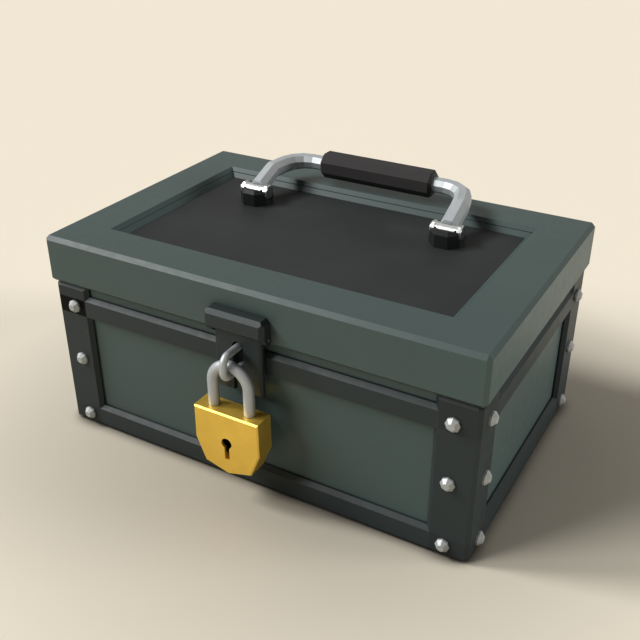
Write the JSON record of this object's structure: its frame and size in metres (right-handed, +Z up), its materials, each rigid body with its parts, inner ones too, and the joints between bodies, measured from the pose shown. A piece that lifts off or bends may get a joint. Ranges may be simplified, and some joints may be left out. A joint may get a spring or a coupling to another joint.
{
  "type": "lock box",
  "caption": "Rectangular steel lock box with riveted corner trim, an overhanging hinged lid with a folding carry handle, and a hasp held over a staple by a padlock.",
  "frame": {"origin": "middle of the case's flat underside, on the surface that the box stands on", "axes": "+X along the box (to the right when facing the hasp), -Y out of the hasp side, +Y to the hinges, +Z up"},
  "size_m": [0.3232, 0.245, 0.1731],
  "materials": {
    "green_paint": "satin dark green enamel",
    "dark_trim": "satin charcoal enamel",
    "black_panel": "matt black",
    "black_plastic": "matt black",
    "chrome": "polished",
    "satin_steel": "satin",
    "steel": "zinc plated",
    "grip_rubber": "matt black",
    "brass": "satin brass"
  },
  "bodies": {
    "case": {"case_bottom": "green_paint", "case_front": "green_paint", "case_back": "green_paint", "case_left": "green_paint", "case_right": "green_paint", "bottom_cap_fl": "dark_trim", "bottom_cap_fr": "dark_trim", "bottom_cap_bl": "dark_trim", "bottom_cap_br": "dark_trim", "corner_strap_fl": "dark_trim", "corner_strap_fr": "dark_trim", "corner_strap_bl": "dark_trim", "corner_strap_br": "dark_trim", "top_cap_fl": "dark_trim", "top_cap_fr": "dark_trim", "top_cap_bl": "dark_trim", "top_cap_br": "dark_trim", "corner_rivets_fl": "steel", "corner_rivets_fr": "steel", "corner_rivets_bl": "steel", "corner_rivets_br": "steel", "top_rail_front": "dark_trim", "top_rail_back": "dark_trim", "top_rail_left": "dark_trim", "top_rail_right": "dark_trim", "bottom_rail_front": "dark_trim", "bottom_rail_back": "dark_trim", "bottom_rail_left": "dark_trim", "bottom_rail_right": "dark_trim", "staple": "chrome", "staple_backing_plate": "steel", "staple_nuts": "steel", "hinge_case_leaf_left": "steel", "hinge_case_leaf_right": "steel", "hinge_pin_left": "steel", "hinge_pin_right": "steel", "hinge_case_rivets": "steel"},
    "lid": {"lid_shell": "green_paint", "lid_moulding": "green_paint", "lid_panel": "black_panel", "handle_boss_left": "black_plastic", "handle_boss_right": "black_plastic", "handle_screws": "steel", "hinge_lid_leaf_left": "steel", "hinge_lid_leaf_right": "steel", "hinge_lid_rivets": "steel", "hasp_block": "dark_trim", "hasp_bolts": "steel", "hasp_pin": "steel"},
    "hasp": {"hasp_strap": "dark_trim"},
    "handle": {"handle_barrels": "chrome", "handle_tube": "satin_steel", "handle_grip": "grip_rubber"},
    "padlock_shackle": {"padlock_shackle": "chrome"},
    "padlock_case": {"padlock_case": "brass", "padlock_retaining_pin": "steel", "padlock_spring": "steel"},
    "padlock_key_drum": {"padlock_key_drum": "brass"},
    "padlock_latch": {"padlock_latch": "brass"}
  },
  "joints": [
    {"name": "lid_hinge", "type": "hinge", "parent": "case", "child": "lid", "pos_m": [0, 0.1084, 0.1154], "axis": [-1, 0, 0], "range_deg": [0, 100]},
    {"name": "hasp_swing", "type": "hinge", "parent": "lid", "child": "hasp", "pos_m": [0, -0.1072, 0.1208], "axis": [-1, 0, 0], "range_deg": [0, 40]},
    {"name": "handle_swing", "type": "hinge", "parent": "lid", "child": "handle", "pos_m": [0, 0.0329, 0.1523], "axis": [1, 0, 0], "range_deg": [0, 72]},
    {"name": "padlock_swing", "type": "hinge", "parent": "case", "child": "padlock_shackle", "pos_m": [0, -0.1184, 0.1019], "axis": [-1, 0, 0], "range_deg": [0, 60]},
    {"name": "padlock_release", "type": "slide", "parent": "padlock_shackle", "child": "padlock_case", "axis": [0, 0, -1], "range_m": [0, 0.011], "deforming": ["padlock_spring"]},
    {"name": "key_turn", "type": "hinge", "parent": "padlock_case", "child": "padlock_key_drum", "pos_m": [0, -0.1184, 0.0481], "axis": [0, 1, 0], "range_deg": [0, 90]},
    {"name": "latch_slide", "type": "slide", "parent": "padlock_case", "child": "padlock_latch", "axis": [-1, 0, 0], "range_m": [0, 0.003]}
  ],
  "couplings": [
    {"joint": "hasp_swing", "follows": "lid_hinge", "ratio": 0.4},
    {"joint": "key_turn", "follows": "padlock_release", "rad_per_m": 142.79},
    {"joint": "latch_slide", "follows": "padlock_release", "ratio": 0.2727}
  ]
}
